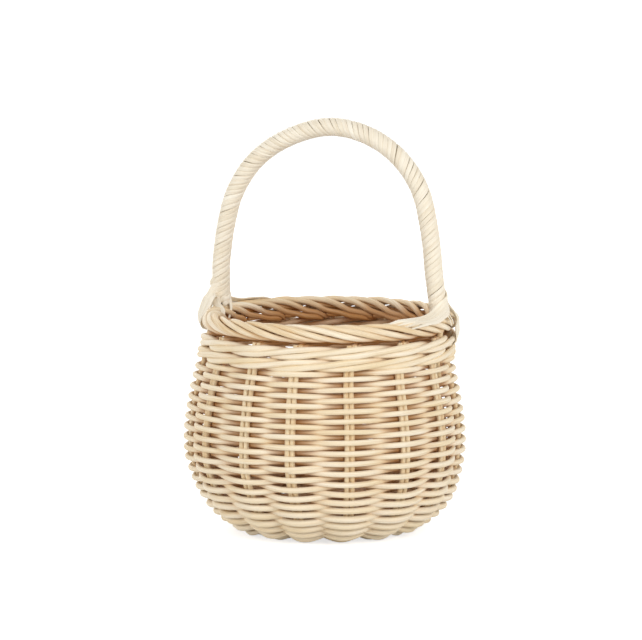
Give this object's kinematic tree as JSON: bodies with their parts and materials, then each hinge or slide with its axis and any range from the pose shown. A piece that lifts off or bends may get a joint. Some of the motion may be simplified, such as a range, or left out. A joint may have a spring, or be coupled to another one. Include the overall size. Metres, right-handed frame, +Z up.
{
  "type": "rattan basket",
  "caption": "Small round pot-bellied basket woven from rattan rods, open on top, with a rolled border and a fixed arched handle roped in flat cane.",
  "frame": {"origin": "centre of the flat underside of the base, on the surface that the basket stands on", "axes": "+Z up through the open top, +X towards the handle's right foot as the front is seen from -Y"},
  "size_m": [0.1612, 0.1604, 0.237],
  "materials": {
    "rattan_weave": "round rattan core, bare and dry, pale straw with a fine lengthwise grain and tan patches",
    "rattan_stake": "round rattan core, bare, a little tanner than the weavers",
    "rattan_border": "round rattan core bent while wet, golden tan with a soft sheen",
    "flat_cane": "split flat cane, creamy and smooth, with a low satin sheen",
    "bow_cane": "whole rattan cane, tan and smooth"
  },
  "bodies": {
    "root": {"base_weaving": "rattan_weave", "stake_rod_1": "rattan_stake", "stake_rod_2": "rattan_stake", "stake_rod_3": "rattan_stake", "stake_rod_4": "rattan_stake", "stake_rod_5": "rattan_stake", "stake_rod_6": "rattan_stake", "stake_rod_7": "rattan_stake", "stake_rod_8": "rattan_stake", "stake_rod_9": "rattan_stake", "stake_rod_10": "rattan_stake", "stake_rod_11": "rattan_stake", "stake_rod_12": "rattan_stake", "stake_rod_13": "rattan_stake", "stake_rod_14": "rattan_stake", "stake_rod_15": "rattan_stake", "weaver_1": "rattan_weave", "weaver_2": "rattan_weave", "weaver_3": "rattan_weave", "weaver_4": "rattan_weave", "weaver_5": "rattan_weave", "weaver_6": "rattan_weave", "wale_round_1": "rattan_weave", "wale_round_2": "rattan_weave", "border": "rattan_border", "handle_bow": "bow_cane", "roping_strand_1": "flat_cane", "roping_strand_2": "flat_cane", "roping_strand_3": "flat_cane", "roping_strand_4": "flat_cane", "roping_strand_5": "flat_cane", "roping_strand_6": "flat_cane", "cane_tail_left_outer": "flat_cane", "cane_tail_left_inner": "flat_cane", "cane_tail_right_outer": "flat_cane", "cane_tail_right_inner": "flat_cane"}
  },
  "joints": []
}
